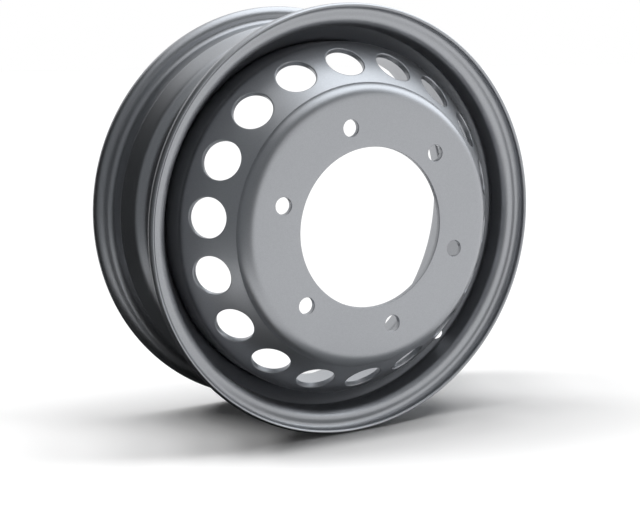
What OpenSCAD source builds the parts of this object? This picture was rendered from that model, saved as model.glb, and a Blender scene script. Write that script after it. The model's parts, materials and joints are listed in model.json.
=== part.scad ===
// Steel wheel for a light van: a rolled drop-centre rim with a deep pressed disc welded inside it.
// Each section is drawn as [radius, height]. Height runs outboard from the face that bears on the hub.
// Lengths are in millimetres and angles in degrees.

/* [Rim] */
// Width between the two flanges, where the tyre's beads sit
rim_w = 139.7; // [127:0.1:165.1]
// Diameter of the bead seats at the flanges
bead_d = 405.6; // [395:0.1:415]
// Thickness of the rolled rim
rim_t = 3.2; // [2.4:0.1:3.8]
// Height of the flanges above the bead seats
flange_h = 17.3; // [16:0.1:20]
// Radius of the curl at the top of each flange
curl_r = 9.5; // [8:0.1:11]
// How far each curl turns past its highest point
curl_past = 36; // [18:1:45]
// Radius of the corner between a flange and its bead seat
heel_r = 6.5; // [5:0.1:8]
// Width of each bead seat, from the flange to the hump
seat_w = 20; // [18:0.1:22]
// Taper of the bead seats
seat_taper = 5; // [3:0.5:7]
// Height of the round safety humps
hump_h = 1.3; // [0.8:0.1:1.5]
// Width of the safety humps at their foot
hump_w = 7; // [6.6:0.1:9]
// Radius of the bends over the humps
hump_bend = 5; // [4.2:0.1:5.4]

/* [Drop centre] */
// Depth of the well below the bead seats
well_depth = 17.3; // [15:0.1:18.2]
// Lean of the stretch from the outer hump to the brow of the well, measured from the wheel's axis
brow_lean = 6; // [0:1:28]
// Distance from the outer hump's crest to the near side of the well's floor
well_start = 19.4; // [18.8:0.1:23]
// Width of the well's floor
well_w = 43; // [38:0.5:46]
// Lean of the well's outer wall, measured from the wheel's axis
well_lean = 47; // [46:1:52]
// Lean of the well's inner wall, measured from the wheel's axis
well_lean_in = 55; // [48:1:65]
// Depth of the shelf's edge, where the well's inner wall ends, below the bead seats
shelf_drop = 8; // [6:0.1:9]
// Radius of the bends into and out of the well
well_bend = 9; // [7:0.5:11]
// Diameter of the hole for the tyre's valve, in the well's outer wall
valve_d = 15.7; // [11.3:0.1:16.2]
// Height of the valve hole's middle above the well's floor
valve_rise = 8.2; // [7:0.1:9]

/* [Disc] */
// Thickness of the pressed disc
disc_t = 6; // [4.5:0.1:7]
// Distance from the rim's middle to the face that bears on the hub
hub_offset = 113; // [105:0.5:121]
// Diameter of the centre bore
bore_d = 161; // [140:0.5:170]
// Diameter of the circle of bolt holes
bolt_circle = 205; // [195:0.5:225]
// Number of bolt holes
bolt_n = 6; // [5:1:8]
// Diameter of the bolt holes
bolt_d = 17; // [14:0.1:20]
// Diameter of the dome at its foot
dome_d = 286; // [278:0.2:292]
// Height of the hub face above the dome's foot
dome_h = 12; // [11.5:0.1:15]
// Lean of the dome's side, measured from the wheel's axis
dome_lean = 17; // [15:0.5:24]
// Radius of the dome's shoulder
shoulder_r = 15.5; // [10:0.1:16]
// Radius of the fold at the foot of the dome
foot_r = 2; // [1:0.1:2.4]
// Radius of the bend where the disc turns into its skirt
skirt_bend = 12; // [9:0.5:14]
// Width of the well's floor that the skirt is pressed on to
skirt_grip = 28; // [22:0.5:34]
// Gap all round between the skirt and the well
skirt_gap = 0.05; // [0:0.05:0.3]
// Bevel on the edges of the bore and of the flanges
edge_bevel = 0.6; // [0.2:0.1:1]

/* [Vents] */
// Number of vent holes
vent_n = 18; // [12:1:20]
// Diameter of the vent holes
vent_d = 39.4; // [28:0.1:42]
// Diameter of the circle that the vent holes' middles lie on
vent_circle = 327.5; // [324:0.1:331]
// Depth of the vent holes' middles behind the disc's outer face
vent_depth = 34.8; // [32:0.1:37]
// Width of the slight crown along the middle of the band of vent holes
crown_w = 32; // [10:0.5:44]
// Lean of the disc outside the vent holes, measured from the wheel's axis
vent_lean = 36.5; // [33:0.5:40]

/* [Welds] */
// Number of weld runs that hold the disc in the rim
weld_n = 8; // [4:1:10]
// Length of each weld run, as an angle
weld_arc = 30; // [20:1:34]
// Leg of the weld
weld_leg = 4.5; // [3:0.1:5.5]

/* [Stance] */
// Angle that the wheel is rolled to, from a vent hole level with the axle
roll = 14; // [0:1:60]

/* [Hidden] */
paint = [0.62, 0.63, 0.65];
weld_paint = [0.5, 0.51, 0.53];
// Turn from one point of a bend to the next, and the least turn that counts as a bend
bend_step = 9;
least_turn = 0.1;
// Number of straight steps across the face of a weld
weld_steps = 5;
// How far a weld's face is set back from its corner, in legs: more makes it flatter
weld_set_back = 0.8;
// Length of a cutter, as a multiple of the sheet that it goes through
cut_through = 4;
// Place of the valve, in vent holes from the first one
valve_step = -3;
$fn = 96;

// Heights of the rim's middle, its flanges' faces and the disc's two faces
mid_h = -hub_offset;
out_h = mid_h + rim_w / 2;
in_h = mid_h - rim_w / 2;
face_h = disc_t;

// Radii of the bead seats at the flange and at the hump, and of the well's floor on both sides
bead_r = bead_d / 2;
seat_end_r = bead_r - seat_w * tan(seat_taper);
hump_top_r = seat_end_r + hump_h;
well_r = bead_r - well_depth;
well_in_r = well_r - rim_t;

// Centre of a flange's curl, and the height over its face of the corner that the curl rounds off
curl_mid_r = bead_r + flange_h - curl_r;
curl_corner_r = curl_mid_r + curl_r * tan((90 + curl_past) / 2);
lip_r = curl_mid_r + curl_r * cos(curl_past) - edge_bevel * sin(curl_past);
lip_out = curl_r + curl_r * sin(curl_past) + edge_bevel * cos(curl_past);

// Corners of the well, from outboard to inboard
hump_out_h = out_h - seat_w - hump_w / 2;
hump_in_h = in_h + seat_w + hump_w / 2;
floor_out_h = hump_out_h - well_start;
floor_in_h = floor_out_h - well_w;
brow_over = well_start * tan(well_lean) - (hump_top_r - well_r);
brow_h = hump_out_h - brow_over / (tan(well_lean) - tan(brow_lean));
brow_r = well_r + (brow_h - floor_out_h) * tan(well_lean);
shelf_r = bead_r - shelf_drop;
shelf_h = floor_in_h - (shelf_r - well_r) / tan(well_lean_in);
shelf_foot_h = hump_in_h + hump_w / 2;

// Middle of the valve hole
valve_r = well_r + valve_rise;
valve_h = floor_out_h + (valve_r - well_r) / tan(well_lean);

// Corners of the disc's outer face
dome_r = dome_d / 2;
dome_top_r = dome_r - dome_h * tan(dome_lean);
foot_h = face_h - dome_h;
vent_r = vent_circle / 2;
vent_h = face_h - vent_depth;
foot_lean = atan2(vent_r - dome_r, foot_h - vent_h);
crown_turn = max(least_turn, abs(foot_lean - vent_lean));
crown_r = crown_w / 2 / tan(crown_turn / 2);
vent_tilt = 90 - (foot_lean + vent_lean) / 2;
skirt_r = well_in_r - skirt_gap;
skirt_top_h = vent_h - (skirt_r - vent_r) / tan(vent_lean);
skirt_end_h = floor_out_h - skirt_grip;

// The tyre's side of the rim, from the outer flange to the inner one: [radius, height, bend]
rim_line = [
    [lip_r, out_h + lip_out, 0],
    [curl_corner_r, out_h, curl_r],
    [bead_r, out_h, heel_r],
    [seat_end_r, out_h - seat_w, hump_bend],
    [hump_top_r, hump_out_h, hump_bend],
    [brow_r, brow_h, hump_bend],
    [well_r, floor_out_h, well_bend],
    [well_r, floor_in_h, well_bend],
    [shelf_r, shelf_h, well_bend],
    [seat_end_r, shelf_foot_h, hump_bend],
    [hump_top_r, hump_in_h, hump_bend],
    [seat_end_r, in_h + seat_w, hump_bend],
    [bead_r, in_h, heel_r],
    [curl_corner_r, in_h, curl_r],
    [lip_r, in_h - lip_out, 0]
];

// The outer face of the disc, from the bore to the end of the skirt: [radius, height, bend]
disc_line = [
    [bore_d / 2, face_h, 0],
    [dome_top_r, face_h, shoulder_r],
    [dome_r, foot_h, foot_r],
    [vent_r, vent_h, crown_r],
    [skirt_r, skirt_top_h, skirt_bend],
    [skirt_r, skirt_end_h, 0]
];

function place(corner) = [corner[0], corner[1]];
function unit(v) = v / norm(v);
function right_of(way) = [way[1], -way[0]];
function turned(way, angle) = way * cos(angle) - right_of(way) * sin(angle);
function backwards(list) = [for (i = [len(list) - 1:-1:0]) list[i]];

// Points round the bend at corner b of a line, moved to the line's right by the thickness
function bend(a, b, c, thickness) =
    let (
        way = unit(place(b) - place(a)),
        next = unit(place(c) - place(b)),
        turn = atan2(way[0] * next[1] - way[1] * next[0], way * next),
        side = sign(turn),
        start = place(b) - way * b[2] * tan(abs(turn) / 2),
        middle = start - side * b[2] * right_of(way),
        steps = max(1, ceil(abs(turn) / bend_step))
    )
    [for (i = [0:steps]) middle + (side * b[2] + thickness) * right_of(turned(way, turn * i / steps))];

// One face of a sheet: the line with its bends, moved to its right by the thickness
function face(line, thickness) =
    [for (i = [1:len(line) - 2]) each bend(line[i - 1], line[i], line[i + 1], thickness)];

// The bevelled end of a sheet at corner a of a line that comes from, or goes on to, corner b
function cut_end(a, b, thickness, side) =
    let (
        way = unit(place(b) - place(a)),
        over = side * right_of(way)
    )
    [
        place(a) + way * edge_bevel,
        place(a) + over * edge_bevel,
        place(a) + over * (thickness - edge_bevel),
        place(a) + over * thickness + way * edge_bevel
    ];

// The whole section of a sheet that is bent along a line, with a bevelled edge at its start
function sheet(line, thickness, last_end) =
    concat(
        backwards(cut_end(line[0], line[1], thickness, 1)),
        face(line, 0),
        last_end,
        backwards(face(line, thickness))
    );

function square_end(line, thickness) =
    let (
        last = place(line[len(line) - 1]),
        way = unit(last - place(line[len(line) - 2]))
    )
    [last, last + thickness * right_of(way)];

// Turns a shape that was drawn with the axle upright, so that its outer face looks towards -Y
module on_axle() {
    rotate([90, 0, 0]) children();
}

// Copies its children round the axle, the first at the given angle
module ring_of(count, first) {
    for (i = [0:count - 1]) rotate([0, 0, first + i * 360 / count]) children();
}

// A straight cutter whose middle is on the section at [radius, height]. A positive lean tips its
// outboard end away from the axle.
module cutter(radius, height, lean, diameter, thickness) {
    translate([radius, 0, height]) rotate([0, lean, 0])
        cylinder(d = diameter, h = cut_through * thickness, center = true);
}

// The rim: one rolled strip with curled flanges, bead seats, humps and a drop centre
module rim() {
    line_end = cut_end(rim_line[len(rim_line) - 1], rim_line[len(rim_line) - 2], rim_t, -1);
    color(paint) on_axle() difference() {
        rotate_extrude() polygon(sheet(rim_line, rim_t, line_end));
        rotate([0, 0, roll + valve_step * 360 / vent_n])
            cutter(valve_r, valve_h, well_lean - 90, valve_d, rim_t);
    }
}

// The disc: a flat hub face on a shallow dome, a crowned band of vent holes and a skirt
module disc() {
    color(paint) on_axle() difference() {
        rotate_extrude() polygon(sheet(disc_line, disc_t, square_end(disc_line, disc_t)));
        ring_of(bolt_n, roll + 180 / bolt_n) cutter(bolt_circle / 2, 0, 0, bolt_d, disc_t);
        ring_of(vent_n, roll) cutter(vent_r, vent_h, vent_tilt, vent_d, disc_t);
    }
}

// The welds: short fillets between the end of the disc's skirt and the well
module weld_beads() {
    corner = [well_in_r, skirt_end_h];
    set_back = weld_set_back * weld_leg;
    middle = corner + [set_back, set_back];
    reach = norm([set_back + weld_leg, set_back]);
    toe = atan2(set_back, set_back + weld_leg);
    sweep = (90 - 2 * toe) / weld_steps;
    weld_face = [
        for (i = [0:weld_steps]) middle - reach * [cos(toe + sweep * i), sin(toe + sweep * i)]
    ];
    color(weld_paint) on_axle() ring_of(weld_n, roll - weld_arc / 2)
        rotate_extrude(angle = weld_arc) polygon(concat([corner], weld_face));
}

rim();
disc();
weld_beads();
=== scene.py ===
"""The looks of a pressed steel van wheel: its painted rim, disc and welds, on a pale, softly lit floor.

Each sheet of the wheel is a line bent in the half plane of radius and y, carried once round the axle,
which lies along Y. The outer side of the wheel looks towards -Y. Lengths are in metres and angles in
radians.
"""

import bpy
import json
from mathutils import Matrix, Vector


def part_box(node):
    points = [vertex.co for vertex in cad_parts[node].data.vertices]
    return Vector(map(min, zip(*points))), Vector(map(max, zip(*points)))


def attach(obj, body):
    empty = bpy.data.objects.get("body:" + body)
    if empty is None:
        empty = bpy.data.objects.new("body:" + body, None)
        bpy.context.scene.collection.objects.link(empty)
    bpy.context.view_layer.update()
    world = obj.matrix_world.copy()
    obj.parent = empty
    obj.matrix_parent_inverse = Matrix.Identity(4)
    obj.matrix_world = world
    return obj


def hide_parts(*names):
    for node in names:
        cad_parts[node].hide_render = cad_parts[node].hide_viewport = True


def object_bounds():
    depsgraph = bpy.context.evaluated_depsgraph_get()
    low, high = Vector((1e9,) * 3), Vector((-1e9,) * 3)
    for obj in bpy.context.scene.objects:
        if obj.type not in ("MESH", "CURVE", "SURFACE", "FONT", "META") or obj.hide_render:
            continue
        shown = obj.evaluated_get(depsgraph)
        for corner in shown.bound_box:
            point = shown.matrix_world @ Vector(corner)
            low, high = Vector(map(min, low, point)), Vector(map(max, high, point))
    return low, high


bl_info = {
    "name": "Steel Van Wheel",
    "version": (1, 0, 0),
    "blender": (4, 5, 0),
    "location": "3D View > Sidebar > Wheel",
    "description": "Builds the painted sheets and welds of a steel wheel on its solid model",
    "category": "Object",
}

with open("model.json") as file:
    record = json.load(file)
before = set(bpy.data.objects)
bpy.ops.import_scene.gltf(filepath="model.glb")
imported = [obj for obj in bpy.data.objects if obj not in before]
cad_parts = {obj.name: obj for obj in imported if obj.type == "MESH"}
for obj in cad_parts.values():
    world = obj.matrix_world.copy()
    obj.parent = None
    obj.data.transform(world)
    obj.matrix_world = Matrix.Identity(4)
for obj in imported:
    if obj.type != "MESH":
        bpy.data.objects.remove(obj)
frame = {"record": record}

import json
from math import atan2, cos, pi, radians, sin, tan

import bmesh
import bpy
import numpy as np
from bpy.props import FloatProperty, FloatVectorProperty, IntProperty, PointerProperty
from mathutils import Vector

# Metres in a millimetre
MILLIMETRE = 0.001

# Boxes of the solid model and of its pieces
CAD_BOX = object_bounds()
FLOOR_Z = CAD_BOX[0].z
RIM_LOW, RIM_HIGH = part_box("rim")
DISC_LOW, DISC_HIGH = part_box("disc")
WELD_LOW, WELD_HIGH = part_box("weld_beads")

# Holes of the solid model and the thickness of its disc, whose inner face at the hub lies at y = 0
MOUNTS = {mount["name"]: mount for mount in frame["record"]["mounts"]}
BOLTS = MOUNTS["hub_bolts"]["dims"]
BOLT_R = BOLTS["hole_r_mm"] * MILLIMETRE
BOLT_CIRCLE_R = BOLTS["pcd_mm"] * MILLIMETRE / 2
BORE_R = MOUNTS["centre_bore"]["dims"]["r_mm"] * MILLIMETRE
VALVE_R = MOUNTS["valve_hole"]["dims"]["r_mm"] * MILLIMETRE
VALVE_X, VALVE_Y, VALVE_Z = MOUNTS["valve_hole"]["pos_m"]
DISC_SHEET = -MOUNTS["outer_face"]["pos_m"][1]

# Turn of the valve hole and of the vent hole in line with it
VALVE_TURN = atan2(VALVE_Z, VALVE_X)

# Columns of faces round the axle, a multiple of each number of sectors that holes lie in
AROUND = 360
# Longest step along a straight and largest turn along a bend
STRAIGHT_STEP = 0.008
BEND_STEP = radians(8)
# Steps over each rounded edge of a cut and down the wall between them
EDGE_STEPS = 4
WALL_STEPS = 3
# Rows of faces in a band of small holes and in the band of vent holes
SMALL_HOLE_ROWS = 16
VENT_ROWS = 24
# Rings of faces round a hole in each face of its sheet, and how strongly they crowd towards the hole
HOLE_RINGS = 6
HOLE_CROWDING = 1.4
# Halvings in the search for a hole's edge, and how far it looks, in radii of the hole
HALVINGS = 40
SEARCH_REACH = 3
# Sectors in the band that the valve hole lies in, and half that band's width in radii of the hole
VALVE_SECTORS = 36
VALVE_BAND = 1.6
# Points along a weld run and round its section
WELD_STEPS = 160
WELD_ROUND = 13
# Points along the edge of a cloth on the stage
CLOTH_STEPS = 49
# Points closer than this are one point
SEWN = 1e-6

# How finely the clouds and the sprayed ripple of the paint break up
CLOUD_DETAIL = 3.0
PEEL_DETAIL = 2.0
# Sockets for the two colours of a mixing node and for its result, which share their names with others
MIX_FIRST, MIX_SECOND, MIX_RESULT = 6, 7, 2
WHITE = (1.0, 1.0, 1.0)


def length(name, default, description):
    """A length that a user can change."""
    return FloatProperty(
        name=name, description=description, default=default, min=0.0, unit="LENGTH", precision=5
    )


def angle(name, degrees, description):
    """An angle that a user can change, written in degrees."""
    return FloatProperty(name=name, description=description, default=radians(degrees), subtype="ANGLE")


def share(name, default, description, top=1.0):
    """A plain number from nothing to its top that a user can change."""
    return FloatProperty(name=name, description=description, default=default, min=0.0, max=top)


def count(name, default, description, least=1):
    """A whole number that a user can change."""
    return IntProperty(name=name, description=description, default=default, min=least)


def colour(name, default, description):
    """A colour that a user can change."""
    return FloatVectorProperty(
        name=name, description=description, default=default, size=3, min=0.0, max=1.0, subtype="COLOR"
    )


def place(name, default, description):
    """A place in space or on the floor that a user can change."""
    return FloatVectorProperty(
        name=name,
        description=description,
        default=default,
        size=len(default),
        subtype="XYZ",
        unit="LENGTH",
    )


class RimSizes(bpy.types.PropertyGroup):
    """Sizes of the rolled rim's section."""

    sheet: length("Sheet", 0.0032, "Thickness of the rolled strip")
    flange_height: length("Flange height", 0.0173, "Height of the flanges above the bead seats")
    curl: length("Curl", 0.0095, "Radius of the curl at the top of each flange")
    curl_past: angle("Curl past top", 36, "How far each curl turns past its highest point")
    lip: length("Lip", 0.0006, "Straight at the end of each curl, and bevel of the solid's lips")
    lip_round: length("Lip round", 0.0009, "Radius of the edges of the lips")
    heel: length("Heel", 0.0065, "Radius between a flange and its bead seat")
    seat: length("Bead seat", 0.020, "Width of each bead seat")
    seat_taper: angle("Seat taper", 5, "Taper of the bead seats")
    hump: length("Hump height", 0.0013, "Height of the safety humps")
    hump_width: length("Hump width", 0.007, "Width of the safety humps at their foot")
    hump_bend: length("Hump bend", 0.005, "Radius of the bends over the humps")
    brow_lean: angle("Brow lean", 6, "Lean of the stretch from the outer hump to the well's brow")
    well_depth: length("Well depth", 0.0173, "Depth of the well below the bead seats")
    well_start: length("Well start", 0.0194, "Distance from the outer hump's crest to the well's floor")
    well_width: length("Well width", 0.043, "Width of the well's floor")
    well_lean: angle("Outer wall lean", 47, "Lean of the well's outer wall from the axle")
    inner_lean: angle("Inner wall lean", 55, "Lean of the well's inner wall from the axle")
    shelf_drop: length("Shelf drop", 0.008, "Depth of the shelf's edge below the bead seats")
    well_bend: length("Well bend", 0.009, "Radius of the bends into and out of the well")
    valve_round: length("Valve hole round", 0.0005, "Radius of the valve hole's edges")


class DiscSizes(bpy.types.PropertyGroup):
    """Sizes of the pressed disc's section and of its holes."""

    dome: length("Dome radius", 0.143, "Radius of the dome at its foot")
    dome_height: length("Dome height", 0.012, "Height of the hub face over the dome's foot")
    dome_lean: angle("Dome lean", 17, "Lean of the dome's side from the axle")
    shoulder: length("Shoulder", 0.0155, "Radius of the dome's shoulder")
    foot: length("Foot fold", 0.002, "Radius of the fold at the dome's foot")
    vents: count("Vent holes", 18, "Number of vent holes", 3)
    vent: length("Vent radius", 0.0197, "Radius of the vent holes")
    vent_circle: length("Vent circle", 0.16375, "Radius of the circle of vent holes")
    vent_depth: length("Vent depth", 0.0348, "Depth of the vent holes' middles behind the outer face")
    vent_round: length("Vent round", 0.0011, "Radius of the vent holes' edges")
    crown: length("Crown", 0.032, "Width of the slight crown across the vent holes")
    vent_lean: angle("Outer band lean", 36.5, "Lean of the band outside the vent holes from the axle")
    skirt_bend: length("Skirt bend", 0.012, "Radius of the bend into the skirt")
    bolt_round: length("Bolt hole round", 0.0006, "Radius of the bolt holes' edges")
    bore_round: length("Bore round", 0.0006, "Radius of the edges of the bore and of the skirt's end")
    bolt_land: length("Bolt land", 0.0055, "Width of finely divided sheet round a bolt hole")


class WeldSizes(bpy.types.PropertyGroup):
    """Sizes of the weld runs that hold the disc in the rim."""

    runs: count("Runs", 8, "Number of weld runs")
    arc: angle("Arc", 30, "Length of each run, as an angle round the axle")
    pitch: length("Ripple pitch", 0.0026, "Distance from one ripple to the next")
    ripple: share("Ripple", 0.05, "Height of the ripples as a share of the weld's leg")
    bow: share("Ripple bow", 0.9, "How far a ripple's middle runs ahead of its ends, in ripples", 3.0)
    bulge: share("Bulge", 0.12, "How far the weld's face swells past a flat one, as a share of it")
    taper: length("Taper", 0.006, "Length over which each end of a run rises to its full size")


class PaintLook(bpy.types.PropertyGroup):
    """The satin silver paint."""

    silver: colour("Silver", (0.38, 0.39, 0.41), "Colour of the paint")
    weld: colour("Weld silver", (0.35, 0.36, 0.375), "Colour of the paint over the welds")
    roughness: share("Roughness", 0.40, "Roughness of the paint")
    clouds: share("Clouds", 18.0, "Faint clouds of rougher paint in a metre", 100.0)
    cloud_shade: share("Cloud shade", 0.04, "How far the clouds take the roughness up and down")
    specular: share("Specular", 0.3, "Level of the paint's gloss")
    metallic: share("Metallic", 0.95, "How metallic the paint is")
    flake: length("Flake", 0.0006, "Size of the metal flakes in the paint")
    flake_shade: share("Flake shade", 0.05, "How much the flakes differ in brightness")
    peel: length("Orange peel", 0.004, "Size of the ripples in the sprayed paint")
    peel_height: length("Orange peel height", 0.000004, "Height of the ripples in the sprayed paint")


class StageLook(bpy.types.PropertyGroup):
    """The camera, the floor, the lamps, the screens round the wheel and the mats of painted floor shade.
    """

    eye: place("Eye", (-0.62826, -1.03448, 0.18214), "Place of the camera")
    heading: angle("Heading", -28.95, "Turn of the camera about the vertical, from looking along +Y")
    look_down: angle("Look down", 9.90, "How far the camera looks below the horizon")
    lens: FloatProperty(
        name="Lens", description="Focal length for a 36 mm sensor", default=69.17, min=1.0, unit="CAMERA"
    )
    floor_size: length("Floor size", 30.0, "Width of the floor")
    floor: colour("Floor", (0.92, 0.92, 0.92), "Colour of the floor")
    bounce: share("Bounce", 0.15, "Brightness of the floor for light that it throws back on the wheel")
    sky: share("Sky", 0.12, "Strength of the soft light from all round", 2.0)
    key: share("Key", 2.2, "Strength of the large soft lamp overhead", 20.0)
    key_height: angle("Key height", 54, "Height of the overhead lamp above the horizon")
    key_heading: angle("Key heading", 96, "Turn of the overhead lamp from the outer side towards +X")
    key_spread: angle("Key spread", 76, "Width of the overhead lamp as seen from the wheel")
    key_tint: colour("Key tint", (0.90, 0.955, 1.0), "Colour of the overhead lamp's light")
    strip_lamps: count("Strip lamps", 5, "Lamps in the strip over the floor")
    strip: share("Strip", 0.76, "Strength of each lamp of the strip, which lights the floor alone", 20.0)
    strip_reach: angle("Strip reach", 34, "Lean of the strip's end lamps, across the view")
    strip_left: angle("Strip left", 6, "Lean of the strip's middle to the camera's left")
    strip_spread: angle("Strip spread", 16, "Width of each lamp of the strip as seen from the floor")
    # The black and grey colour the screens and also the mats, which are painted shade of the floor
    black: colour("Black cloth", (0.08, 0.08, 0.08), "Colour of the black mat and the black screens")
    grey: colour("Grey cloth", (0.5, 0.5, 0.5), "Colour of the grey mat and the grey screen")
    # Mats of painted shade: dark sheets over the floor, seen only in the paint, standing for the floor's
    # shadow under and behind the wheel
    black_floor_shade: place("Black mat", (-0.24, 0.24), "Middle of the black mat on the floor")
    black_floor_shade_r: length("Black mat radius", 0.30, "Radius of the black mat")
    grey_floor_shade: place("Grey mat", (0.02, 0.05), "Middle of the grey mat on the floor")
    grey_floor_shade_r: length("Grey mat radius", 0.20, "Radius of the grey mat")
    screen_away: length("Screen distance", 0.55, "Distance of the screens from the wheel's middle")
    screen_top: length("Screen top", 1.15, "Height of the screens' upper edges above the floor")
    raised_low: length("Raised edge", 0.62, "Height of the raised screen's lower edge above the floor")
    black_from: angle("Black from", 126, "Turn from the X axis to the start of the black screen")
    grey_from: angle("Grey from", 165, "Turn from the X axis to the start of the grey screen")
    raised_from: angle("Raised from", 252, "Turn from the X axis to the start of the raised screen")
    raised_to: angle("Raised to", 330, "Turn from the X axis to the end of the raised screen")


def points(x, y, z):
    """Points from their coordinates, spread over one grid."""
    return np.stack(np.broadcast_arrays(x, y, z), -1)


def faces_between(index):
    """A face between each four neighbours in grids of points, from the grids of the points' numbers."""
    near, far = index[..., :-1, :], index[..., 1:, :]
    return np.stack([near[..., :-1], far[..., :-1], far[..., 1:], near[..., 1:]], -1).reshape(-1, 4)


class SheetLine:
    """The line that a sheet is bent along, in the half plane of radius and y, read by the distance s.

    Its corners are rows of (radius, y, bend). Between corners it is straight. At an inner corner it turns
    on an arc of radius bend that is tangent to both straights, so the arc takes bend * tan(turn / 2) from
    each of them. Its stretches are numbered from 0: the even ones are straights and the odd ones bends.
    """

    def __init__(self, corners):
        corners = np.array(corners, float)
        spots, bend = corners[:, :2], corners[1:-1, 2]
        step = np.diff(spots, axis=0)
        size = np.hypot(step[:, 0], step[:, 1])
        heading = np.unwrap(np.arctan2(step[:, 1], step[:, 0]))
        turn = np.diff(heading)
        taken = np.concatenate([[0.0], bend * np.tan(np.abs(turn) / 2), [0.0]])
        way = step / size[:, None]
        stretches = 2 * len(size) - 1
        self.run, self.curve, self.heading = np.zeros((3, stretches))
        self.start = np.zeros((stretches, 2))
        self.run[0::2] = size - taken[:-1] - taken[1:]
        self.run[1::2] = bend * np.abs(turn)
        self.curve[1::2] = np.sign(turn) / bend
        self.heading[0::2] = heading
        self.heading[1::2] = heading[:-1]
        self.start[0::2] = spots[:-1] + way * taken[:-1, None]
        self.start[1::2] = spots[1:-1] - way[:-1] * taken[1:-1, None]
        self.reach = np.concatenate([[0.0], np.cumsum(self.run)])

    def at(self, s):
        """Points at distances s, and the unit vectors there that point through the sheet from its front.

        A point lies at gone * sin(half) / half from its stretch's start, along the mean heading between
        them, where half is half the turn up to it.
        """
        s = np.asarray(s, float)
        stretch = np.clip(np.searchsorted(self.reach, s, side="right") - 1, 0, len(self.run) - 1)
        gone = s - self.reach[stretch]
        half = self.curve[stretch] * gone / 2
        mean = self.heading[stretch] + half
        chord = gone * np.sinc(half / pi)
        spot = self.start[stretch] + chord[..., None] * np.stack([np.cos(mean), np.sin(mean)], -1)
        ahead = mean + half
        return spot, np.stack([-np.sin(ahead), np.cos(ahead)], -1)

    def marks(self):
        """Distances that divide each straight and each bend evenly."""
        turned = np.abs(self.curve) * self.run
        steps = np.where(turned == 0, self.run / STRAIGHT_STEP, turned / BEND_STEP)
        steps = np.maximum(1, np.ceil(steps)).astype(int)
        limits = zip(self.reach, self.reach[1:], steps)
        divided = [np.linspace(start, end, n, endpoint=False) for start, end, n in limits]
        return np.concatenate(divided + [self.reach[-1:]])

    def bend_start(self, corner):
        """Distance to the start of the bend at an inner corner."""
        return self.reach[2 * corner - 1]

    def bend_end(self, corner):
        """Distance to the end of the bend at an inner corner."""
        return self.reach[2 * corner]

    def bend_middle(self, corner):
        """Distance to the middle of the bend at an inner corner."""
        return (self.bend_start(corner) + self.bend_end(corner)) / 2

    def beside(self, corner, spot):
        """Distance to the foot of a point on the straight that follows a corner."""
        straight = 2 * corner
        way = np.array([cos(self.heading[straight]), sin(self.heading[straight])])
        return self.reach[straight] + (np.asarray(spot) - self.start[straight]) @ way


def on_sheet(line, s, turn, depth):
    """Points of a sheet carried round the axle: the line's point at s, moved through the sheet by depth
    and then turned from the X axis towards the Z axis."""
    spot, through = line.at(s)
    radius, y = np.moveaxis(spot + np.asarray(depth, float)[..., None] * through, -1, 0)
    return points(radius * np.cos(turn), y, radius * np.sin(turn))


def spun(grid, turns):
    """Copies of a grid of points, each turned about the axle from the X axis towards the Z axis."""
    x, y, z = np.moveaxis(grid[None], -1, 0)
    c, s = (f(np.asarray(turns))[:, None, None] for f in (np.cos, np.sin))
    return points(x * c - z * s, y, x * s + z * c)


def rounded_cut(wall, edge):
    """The edge of a cut sheet as (distance back from the cut, depth): a quarter round of radius edge,
    the straight wall, and another quarter round."""
    q = np.linspace(0, pi / 2, EDGE_STEPS + 1)
    back = edge * (1 - np.sin(q))
    depth = edge * (1 - np.cos(q))
    middle = np.linspace(edge, wall - edge, WALL_STEPS + 1)[1:-1]
    return (
        np.concatenate([back, 0 * middle, back[::-1]]),
        np.concatenate([depth, middle, wall - depth[::-1]]),
    )


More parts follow.
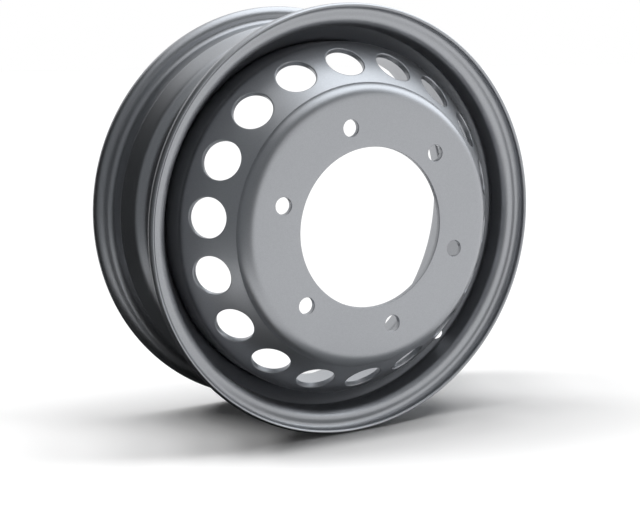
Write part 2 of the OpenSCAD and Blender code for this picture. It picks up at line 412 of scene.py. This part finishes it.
class Hole:
    """A row of round holes, pierced square through a sheet, each in the middle of one sector of a band.

    middle, low and high are distances along the sheet's line, to the holes' middles and to the band's
    edges. The first sector lies at the turn first, and from it one sector in so many is pierced.
    """

    def __init__(self, middle, low, high, radius, edge, sectors, first, one_in, rows):
        self.middle, self.low, self.high = middle, low, high
        self.radius, self.edge = radius, edge
        self.rows, self.columns = rows, AROUND // sectors
        self.half = pi / sectors
        turns = first + 2 * pi * np.arange(sectors) / sectors
        pierced = np.arange(sectors) % one_in == 0
        self.pierced, self.plain = turns[pierced], turns[~pierced]

    def outline(self):
        """Turn and distance of the points once round a sector's outline."""
        side = np.linspace(-self.half, self.half, self.columns, endpoint=False)
        rise = np.linspace(self.low, self.high, self.rows, endpoint=False)
        fall = self.low + self.high - rise
        across, along = np.ones(self.columns), np.ones(self.rows)
        turn = [side, self.half * along, -side, -self.half * along, side[:1]]
        dist = [self.low * across, rise, self.high * across, fall, rise[:1]]
        return np.concatenate(turn), np.concatenate(dist)

    def rings(self, line, radius, depth, way):
        """Turn and distance of the points at the given radii from the hole's axis, in directions way.

        The reach along the sheet is found by halving, until its point lies that far from the axis.
        """
        (r, y), through = line.at(self.middle)
        axis = np.array([through[0], through[1], 0.0])
        origin = np.array([r, y, 0.0])
        low = np.zeros((len(radius), len(way)))
        high = low + SEARCH_REACH * self.radius
        for _ in range(HALVINGS):
            reach = (low + high) / 2
            dist = self.middle + reach * np.sin(way)
            turn = reach * np.cos(way) / r
            from_middle = on_sheet(line, dist, turn, depth[:, None]) - origin
            from_axis = from_middle - (from_middle @ axis)[..., None] * axis
            near = np.linalg.norm(from_axis, axis=-1) < radius[:, None]
            low, high = np.where(near, reach, low), np.where(near, high, reach)
        return turn, dist

    def patch(self, line, sheet):
        """One sector: rings of points from its outline in the front face in to the hole, over the hole's
        rounded edge, down its wall, and out to the outline in the back face."""
        turn, dist = self.outline()
        (r, _), _ = line.at(self.middle)
        way = np.arctan2(dist - self.middle, turn * r)
        back, depth = rounded_cut(sheet, self.edge)
        cut_turn, cut_dist = self.rings(line, self.radius + back, depth, way)
        ease = (1 - (1 - np.linspace(0, 1, HOLE_RINGS + 1)[:-1]) ** HOLE_CROWDING)[:, None]
        turns, dists = (
            np.concatenate([rim + (cut[0] - rim) * ease, cut, rim + (cut[-1] - rim) * ease[::-1]])
            for rim, cut in ((turn, cut_turn), (dist, cut_dist))
        )
        depths = np.concatenate([np.zeros(HOLE_RINGS), depth, np.full(HOLE_RINGS, sheet)])
        return on_sheet(line, dists, turns, depths[:, None])


class Patchwork:
    """Grids of points that are sewn into one mesh where their edges meet."""

    def __init__(self):
        self.points, self.quads, self.count = [], [], 0

    def add(self, grids):
        """Adds grids of shape (..., rows, columns, 3), with a face between each four neighbours."""
        flat = grids.reshape(-1, 3)
        index = self.count + np.arange(len(flat)).reshape(grids.shape[:-1])
        self.points.append(flat)
        self.quads.append(faces_between(index))
        self.count += len(flat)

    def sew(self, name, material):
        """The sewn mesh as an object, with its faces turned outwards."""
        corners, quads = np.concatenate(self.points), np.concatenate(self.quads)
        mesh = bpy.data.meshes.new(name)
        mesh.vertices.add(len(corners))
        mesh.vertices.foreach_set("co", corners.ravel().astype(np.float32))
        mesh.loops.add(quads.size)
        mesh.loops.foreach_set("vertex_index", quads.ravel().astype(np.int32))
        mesh.polygons.add(len(quads))
        mesh.polygons.foreach_set("loop_start", np.arange(0, quads.size, 4, dtype=np.int32))
        mesh.update(calc_edges=True)
        sewn = bmesh.new()
        sewn.from_mesh(mesh)
        bmesh.ops.remove_doubles(sewn, verts=sewn.verts, dist=SEWN)
        bmesh.ops.recalc_face_normals(sewn, faces=sewn.faces)
        open_edges = sum(not edge.is_manifold for edge in sewn.edges)
        sewn.to_mesh(mesh)
        sewn.free()
        if open_edges:
            raise RuntimeError(f"{name} has {open_edges} open edges")
        mesh.shade_smooth()
        mesh.materials.append(material)
        piece = bpy.data.objects.new(name, mesh)
        bpy.context.scene.collection.objects.link(piece)
        return piece


def sheet_patchwork(line, sheet, edge, first_turn, holes):
    """Both faces, both ends and the holes of a sheet that is carried round the axle.

    The sheet's ends have edges of radius edge. The faces between the bands of holes are grids of
    distance along the line by turn about the axle.
    """
    work = Patchwork()
    turn = first_turn + np.linspace(0, 2 * pi, AROUND + 1)
    end = line.reach[-1]
    marks = line.marks()
    limits = [edge] + [s for hole in holes for s in (hole.low, hole.high)] + [end - edge]
    for low, high in zip(limits[0::2], limits[1::2]):
        inside = marks[(marks > low + SEWN) & (marks < high - SEWN)]
        s = np.concatenate([[low], inside, [high]])[:, None]
        for depth in (0.0, sheet):
            work.add(on_sheet(line, s, turn, depth))
    back, depth = rounded_cut(sheet, edge)
    for s in (back, end - back):
        work.add(on_sheet(line, s[:, None], turn, depth[:, None]))
    for hole in holes:
        work.add(spun(hole.patch(line, sheet), hole.pierced))
        if len(hole.plain):
            side = np.linspace(-hole.half, hole.half, hole.columns + 1)
            rise = np.linspace(hole.low, hole.high, hole.rows + 1)[:, None]
            for depth in (0.0, sheet):
                work.add(spun(on_sheet(line, rise, side, depth), hole.plain))
    return work


def rim_line(rim):
    """The tyre's side of the rim's section, from the outer lip to the inner one."""
    flange_r = min(RIM_HIGH.x, RIM_HIGH.z)
    seat_r = flange_r - rim.flange_height
    past_y, past_r = sin(rim.curl_past), cos(rim.curl_past)
    curl_r = flange_r - rim.curl
    corner_r = curl_r + rim.curl * tan((pi / 2 + rim.curl_past) / 2)
    lip_r = curl_r + rim.curl * past_r - rim.lip * past_y
    lip_reach = rim.curl * (1 + past_y) + rim.lip * past_r
    bevelled = rim.lip * past_y
    out_y = RIM_LOW.y + lip_reach - bevelled
    in_y = RIM_HIGH.y - lip_reach + bevelled
    seat_end_r = seat_r - rim.seat * tan(rim.seat_taper)
    hump_r = seat_end_r + rim.hump
    hump_out_y = out_y + rim.seat + rim.hump_width / 2
    hump_in_y = in_y - rim.seat - rim.hump_width / 2
    well_r = seat_r - rim.well_depth
    floor_out_y = hump_out_y + rim.well_start
    floor_in_y = floor_out_y + rim.well_width
    over = rim.well_start * tan(rim.well_lean) - (hump_r - well_r)
    brow_y = hump_out_y + over / (tan(rim.well_lean) - tan(rim.brow_lean))
    brow_r = well_r + (floor_out_y - brow_y) * tan(rim.well_lean)
    shelf_r = seat_r - rim.shelf_drop
    shelf_y = floor_in_y + (shelf_r - well_r) / tan(rim.inner_lean)
    return SheetLine([
        (lip_r, out_y - lip_reach, 0),
        (corner_r, out_y, rim.curl),
        (seat_r, out_y, rim.heel),
        (seat_end_r, out_y + rim.seat, rim.hump_bend),
        (hump_r, hump_out_y, rim.hump_bend),
        (brow_r, brow_y, rim.hump_bend),
        (well_r, floor_out_y, rim.well_bend),
        (well_r, floor_in_y, rim.well_bend),
        (shelf_r, shelf_y, rim.well_bend),
        (seat_end_r, hump_in_y - rim.hump_width / 2, rim.hump_bend),
        (hump_r, hump_in_y, rim.hump_bend),
        (seat_end_r, in_y - rim.seat, rim.hump_bend),
        (seat_r, in_y, rim.heel),
        (corner_r, in_y, rim.curl),
        (lip_r, in_y + lip_reach, 0),
    ])


# Corner of the rim's line at the brow, where the well's outer wall with the valve hole starts
BROW_CORNER = 5


def disc_line(disc):
    """The outer face of the disc's section, from the bore to the end of the skirt."""
    face_y, skirt_r = DISC_LOW.y, DISC_HIGH.x
    foot_y = face_y + disc.dome_height
    top_r = disc.dome - disc.dome_height * tan(disc.dome_lean)
    vent_y = face_y + disc.vent_depth
    foot_lean = atan2(disc.vent_circle - disc.dome, vent_y - foot_y)
    crown_r = disc.crown / 2 / tan(abs(foot_lean - disc.vent_lean) / 2)
    skirt_y = vent_y + (skirt_r - disc.vent_circle) / tan(disc.vent_lean)
    return SheetLine([
        (BORE_R, face_y, 0),
        (top_r, face_y, disc.shoulder),
        (disc.dome, foot_y, disc.foot),
        (disc.vent_circle, vent_y, crown_r),
        (skirt_r, skirt_y, disc.skirt_bend),
        (skirt_r, DISC_HIGH.y, 0),
    ])


# Corners of the disc's line at the dome's foot, the vent holes' middles and the bend into the skirt
FOOT_CORNER, VENT_CORNER, SKIRT_CORNER = 2, 3, 4


def weld_grid(weld, corner_r, corner_y, leg):
    """One weld run as a grid of distance along it by angle round its section.

    The section is a fillet in the corner between the skirt's end and the well: at angle b from the well
    it reaches leg / (cos b + sin b), swollen by the bulge and rippled along the run. The ends taper to
    points on the corner.
    """
    run = corner_r * weld.arc
    dist = np.linspace(0, run, WELD_STEPS)[:, None]
    b = np.linspace(0, pi / 2, WELD_ROUND)
    swell = np.sin(2 * b)
    wave = np.cos(2 * pi * (dist / weld.pitch - weld.bow * swell))
    rise = np.clip(np.minimum(dist, run - dist) / weld.taper, 0, 1)
    size = leg * np.sqrt(rise * (2 - rise)) * (1 - weld.ripple * (1 - wave) * swell)
    reach = size * (1 + weld.bulge * swell) / (np.cos(b) + np.sin(b))
    along = np.ones_like(dist)
    radius = np.concatenate([corner_r * along, corner_r - reach * np.sin(b), corner_r * along], 1)
    y = np.concatenate([corner_y * along, corner_y + reach * np.cos(b), corner_y * along], 1)
    turn = (dist - run / 2) / corner_r
    return points(radius * np.cos(turn), y, radius * np.sin(turn))


class Nodes:
    """The nodes of a material or a world, added by type and linked as their inputs are given."""

    def __init__(self, owner):
        owner.use_nodes = True
        self.owner = owner
        self.tree = owner.node_tree
        self.tree.nodes.clear()

    def feed(self, socket, value):
        """Links another node's output to a socket, or sets a constant on it."""
        if isinstance(value, bpy.types.NodeSocket):
            self.tree.links.new(value, socket)
        else:
            socket.default_value = value

    def add(self, kind, *in_order, settings=None, **by_name):
        """A node of a type, with its settings, and its inputs in the order of the sockets or by name."""
        node = self.tree.nodes.new("ShaderNode" + kind)
        for key, value in (settings or {}).items():
            setattr(node, key, value)
        for socket, value in zip(node.inputs, in_order):
            self.feed(socket, value)
        for key, value in by_name.items():
            self.feed(node.inputs[key.replace("_", " ")], value)
        return node

    def finish(self, shader):
        """Sends a shader to the material's surface."""
        self.add("OutputMaterial", Surface=shader.outputs[0])
        return self.owner


def satin_paint(name, tint, look):
    """Satin silver paint: metal flakes of slightly different brightness, faint clouds in the roughness
    and a sprayed ripple."""
    nodes = Nodes(bpy.data.materials.new(name))
    coordinates = nodes.add("TexCoord").outputs["Object"]
    flakes = nodes.add("TexVoronoi", Vector=coordinates, Scale=1 / look.flake)
    flake = nodes.add("SeparateColor", Color=flakes.outputs["Color"]).outputs["Red"]
    silver = nodes.add("Mix", settings={"data_type": "RGBA"}, Factor=flake)
    nodes.feed(silver.inputs[MIX_FIRST], [x * (1 - look.flake_shade) for x in tint] + [1.0])
    nodes.feed(silver.inputs[MIX_SECOND], [min(1.0, x * (1 + look.flake_shade)) for x in tint] + [1.0])
    clouds = nodes.add("TexNoise", Vector=coordinates, Scale=look.clouds, Detail=CLOUD_DETAIL)
    rough = nodes.add(
        "MapRange",
        Value=clouds.outputs["Fac"],
        To_Min=look.roughness - look.cloud_shade,
        To_Max=look.roughness + look.cloud_shade,
    )
    peel = nodes.add("TexNoise", Vector=coordinates, Scale=1 / look.peel, Detail=PEEL_DETAIL)
    bump = nodes.add("Bump", Height=peel.outputs["Fac"], Strength=1.0, Distance=look.peel_height)
    shader = nodes.add(
        "BsdfPrincipled",
        Base_Color=silver.outputs[MIX_RESULT],
        Metallic=look.metallic,
        Roughness=rough.outputs["Result"],
        Specular_IOR_Level=look.specular,
        Normal=bump.outputs["Normal"],
    )
    return nodes.finish(shader)


def seen_white(nodes):
    """One for light that goes to the eye, straight or by a mirror or glass, and nothing for the rest."""
    path = nodes.add("LightPath").outputs
    larger = {"operation": "MAXIMUM"}
    seen = nodes.add("Math", path["Is Camera Ray"], path["Is Glossy Ray"], settings=larger)
    return nodes.add("Math", seen.outputs[0], path["Is Transmission Ray"], settings=larger).outputs[0]


def floor_paint(look):
    """A pale floor that throws little light back on the wheel."""
    nodes = Nodes(bpy.data.materials.new("pale_floor"))
    dim = nodes.add("BsdfDiffuse", Color=(look.bounce, look.bounce, look.bounce, 1.0))
    pale = nodes.add("BsdfDiffuse", Color=(*look.floor, 1.0))
    return nodes.finish(nodes.add("MixShader", seen_white(nodes), dim.outputs[0], pale.outputs[0]))


def matt_cloth(name, tint):
    """Plain matt cloth, for the screens and for the mats of painted floor shade."""
    nodes = Nodes(bpy.data.materials.new(name))
    return nodes.finish(nodes.add("BsdfDiffuse", Color=(*tint, 1.0)))


def put_on(piece, node):
    """Makes a piece stand for a solid of the wheel."""
    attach(piece, "root")
    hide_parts(node)


class WHEEL_OT_rim(bpy.types.Operator):
    """Build the rolled rim with its flanges, bead seats, well and valve hole"""

    bl_idname = "wheel.build_rim"
    bl_label = "Rim"

    def execute(self, context):
        sizes, look = context.scene.wheel_rim, context.scene.wheel_paint
        line = rim_line(sizes)
        valve_s = line.beside(BROW_CORNER, (np.hypot(VALVE_X, VALVE_Z), VALVE_Y))
        valve = Hole(
            middle=valve_s,
            low=valve_s - VALVE_BAND * VALVE_R,
            high=valve_s + VALVE_BAND * VALVE_R,
            radius=VALVE_R,
            edge=sizes.valve_round,
            sectors=VALVE_SECTORS,
            first=VALVE_TURN,
            one_in=VALVE_SECTORS,
            rows=SMALL_HOLE_ROWS,
        )
        work = sheet_patchwork(line, sizes.sheet, sizes.lip_round, VALVE_TURN, [valve])
        piece = work.sew("painted_rim", satin_paint("rim_paint", look.silver, look))
        put_on(piece, "rim")
        return {"FINISHED"}


class WHEEL_OT_disc(bpy.types.Operator):
    """Build the pressed disc with its dome, bolt holes, vent holes and skirt"""

    bl_idname = "wheel.build_disc"
    bl_label = "Disc"

    def execute(self, context):
        sizes, look = context.scene.wheel_disc, context.scene.wheel_paint
        line = disc_line(sizes)
        bolt_s = BOLT_CIRCLE_R - BORE_R
        land = BOLT_R + sizes.bolt_land
        bolts = Hole(
            middle=bolt_s,
            low=bolt_s - land,
            high=bolt_s + land,
            radius=BOLT_R,
            edge=sizes.bolt_round,
            sectors=sizes.vents,
            first=VALVE_TURN + pi / BOLTS["count"],
            one_in=sizes.vents // BOLTS["count"],
            rows=SMALL_HOLE_ROWS,
        )
        vents = Hole(
            middle=line.bend_middle(VENT_CORNER),
            low=line.bend_end(FOOT_CORNER),
            high=line.bend_start(SKIRT_CORNER),
            radius=sizes.vent,
            edge=sizes.vent_round,
            sectors=sizes.vents,
            first=VALVE_TURN,
            one_in=1,
            rows=VENT_ROWS,
        )
        work = sheet_patchwork(line, DISC_SHEET, sizes.bore_round, VALVE_TURN, [bolts, vents])
        piece = work.sew("painted_disc", satin_paint("disc_paint", look.silver, look))
        put_on(piece, "disc")
        return {"FINISHED"}


class WHEEL_OT_welds(bpy.types.Operator):
    """Build the rippled weld runs between the disc and the rim"""

    bl_idname = "wheel.build_welds"
    bl_label = "Welds"

    def execute(self, context):
        sizes, look = context.scene.wheel_welds, context.scene.wheel_paint
        grid = weld_grid(sizes, WELD_HIGH.x, WELD_LOW.y, WELD_HIGH.y - WELD_LOW.y)
        work = Patchwork()
        work.add(spun(grid, VALVE_TURN + 2 * pi * np.arange(sizes.runs) / sizes.runs))
        piece = work.sew("weld_runs", satin_paint("weld_paint", look.weld, look))
        put_on(piece, "weld_beads")
        return {"FINISHED"}


def stage_sheet(name, grid, material):
    """A part of the stage: a grid of points with a face between each four neighbours."""
    mesh = bpy.data.meshes.new(name)
    quads = faces_between(np.arange(grid.size // 3).reshape(grid.shape[:2]))
    mesh.from_pydata(grid.reshape(-1, 3).tolist(), [], quads.tolist())
    mesh.materials.append(material)
    sheet = bpy.data.objects.new(name, mesh)
    bpy.context.scene.collection.objects.link(sheet)
    return sheet


def set_camera(scene, look):
    """The camera, at its place and turned to its heading."""
    camera = bpy.data.objects.new("camera", bpy.data.cameras.new("camera"))
    camera.data.lens = look.lens
    camera.location = look.eye
    camera.rotation_euler = (pi / 2 - look.look_down, 0.0, look.heading)
    scene.collection.objects.link(camera)
    scene.camera = camera


def lay_floor(look):
    """A square floor under the wheel."""
    side = np.array([-look.floor_size / 2, look.floor_size / 2])
    return stage_sheet("floor", points(side[:, None], side, FLOOR_Z), floor_paint(look))


def floor_shade_grid(middle, radius, lift):
    """A round mat of painted floor shade: points all round, at a millimetre and the radius from its
    middle.
    """
    turn = np.linspace(0, 2 * pi, CLOTH_STEPS)
    reach = np.array([[MILLIMETRE], [radius]])
    return points(middle[0] + reach * np.cos(turn), middle[1] + reach * np.sin(turn), FLOOR_Z + lift)


def screen_grid(away, first, last, low, high):
    """A screen round the wheel: an arc of an upright cylinder, between two turns and two heights."""
    turn = np.linspace(first, last, CLOTH_STEPS)
    edges = FLOOR_Z + np.array([[low], [high]])
    return points(away * np.cos(turn), away * np.sin(turn), edges)


def hang_cloths(look):
    """A grey mat under the wheel and a black one behind it, painted shade for the shadowed floor as the
    paint reflects it, a black and a grey screen round its left and a raised black one in front, all of
    which show in the paint alone."""
    black, grey = matt_cloth("black_cloth_and_shade", look.black), matt_cloth("grey_cloth_and_shade", look.grey)
    away, low, raised, high = look.screen_away, 0.0, look.raised_low, look.screen_top
    cloths = (
        ("grey_floor_shade", grey, floor_shade_grid(look.grey_floor_shade, look.grey_floor_shade_r, MILLIMETRE)),
        ("black_floor_shade", black, floor_shade_grid(look.black_floor_shade, look.black_floor_shade_r, 2 * MILLIMETRE)),
        ("black_screen", black, screen_grid(away, look.black_from, look.grey_from, low, high)),
        ("grey_screen", grey, screen_grid(away, look.grey_from, look.raised_from, low, high)),
        ("raised_screen", black, screen_grid(away, look.raised_from, look.raised_to, raised, high)),
    )
    for name, material, grid in cloths:
        sheet = stage_sheet(name, grid, material)
        sheet.visible_camera = False
        sheet.visible_diffuse = False
        sheet.visible_transmission = False
        sheet.visible_shadow = False


def hang_lamp(name, strength, tint, spread, towards, floor, floor_alone):
    """A lamp as far off as the sun, which lights either the floor alone or everything but the floor."""
    lamp = bpy.data.objects.new(name, bpy.data.lights.new(name, "SUN"))
    lamp.data.energy = strength
    lamp.data.color = tint
    lamp.data.angle = spread
    lamp.rotation_euler = towards.to_track_quat("Z", "Y").to_euler()
    bpy.context.scene.collection.objects.link(lamp)
    lit = bpy.data.collections.new(name + "_lit")
    lit.objects.link(floor)
    lamp.light_linking.receiver_collection = lit
    lit.collection_objects[0].light_linking.link_state = "INCLUDE" if floor_alone else "EXCLUDE"


def light_wheel(look, floor):
    """A large soft lamp overhead, which lights everything but the floor."""
    flat, high = cos(look.key_height), sin(look.key_height)
    towards = Vector((flat * sin(look.key_heading), -flat * cos(look.key_heading), high))
    hang_lamp("overhead_light", look.key, look.key_tint, look.key_spread, towards, floor, False)


def light_floor(look, floor):
    """A strip of lamps across the view, which lights the floor alone. Its lamps lean by even steps."""
    above = Vector((0.0, 0.0, 1.0))
    right = Vector((cos(look.heading), sin(look.heading), 0.0))
    for lean in np.linspace(-look.strip_reach, look.strip_reach, look.strip_lamps) - look.strip_left:
        towards = above * cos(lean) + right * sin(lean)
        hang_lamp("floor_light", look.strip, WHITE, look.strip_spread, towards, floor, True)


def light_room(scene, look):
    """White all round for the eye and in reflections, and a soft grey for the light on the wheel."""
    scene.world = bpy.data.worlds.new("white_room")
    nodes = Nodes(scene.world)
    strength = nodes.add("MapRange", Value=seen_white(nodes), To_Min=look.sky, To_Max=1.0)
    room = nodes.add("Background", Color=(*WHITE, 1.0), Strength=strength.outputs["Result"])
    nodes.add("OutputWorld", Surface=room.outputs[0])


class WHEEL_OT_stage(bpy.types.Operator):
    """Set the camera, the floor and the light"""

    bl_idname = "wheel.build_stage"
    bl_label = "Stage"

    def execute(self, context):
        scene = context.scene
        look = scene.wheel_stage
        scene.view_settings.view_transform = "Standard"
        set_camera(scene, look)
        floor = lay_floor(look)
        hang_cloths(look)
        light_wheel(look, floor)
        light_floor(look, floor)
        light_room(scene, look)
        return {"FINISHED"}


class WHEEL_PT_sidebar(bpy.types.Panel):
    """Lists the wheel's pieces with their sizes and looks"""

    bl_label = "Steel Van Wheel"
    bl_idname = "WHEEL_PT_sidebar"
    bl_space_type = "VIEW_3D"
    bl_region_type = "UI"
    bl_category = "Wheel"

    def draw(self, context):
        for name, group, operator in SECTIONS:
            box = self.layout.box()
            if operator:
                box.operator(operator.bl_idname)
            else:
                box.label(text="Paint")
            for key in group.__annotations__:
                box.prop(getattr(context.scene, name), key)


# The scene's groups of settings, each with the operator of its piece. All pieces share the paint
SECTIONS = (
    ("wheel_paint", PaintLook, None),
    ("wheel_rim", RimSizes, WHEEL_OT_rim),
    ("wheel_disc", DiscSizes, WHEEL_OT_disc),
    ("wheel_welds", WeldSizes, WHEEL_OT_welds),
    ("wheel_stage", StageLook, WHEEL_OT_stage),
)
CLASSES = (
    *(group for _, group, _ in SECTIONS),
    *(operator for _, _, operator in SECTIONS if operator),
    WHEEL_PT_sidebar,
)


def register():
    """Adds the classes and the scene's settings."""
    for cls in CLASSES:
        bpy.utils.register_class(cls)
    for name, group, _ in SECTIONS:
        setattr(bpy.types.Scene, name, PointerProperty(type=group))


def unregister():
    """Takes the scene's settings and the classes away again."""
    for name, _, _ in SECTIONS:
        delattr(bpy.types.Scene, name)
    for cls in reversed(CLASSES):
        bpy.utils.unregister_class(cls)


def main():
    """Builds the pieces in order."""
    register()
    bpy.ops.wheel.build_rim()
    bpy.ops.wheel.build_disc()
    bpy.ops.wheel.build_welds()
    bpy.ops.wheel.build_stage()


if __name__ == "__main__":
    main()
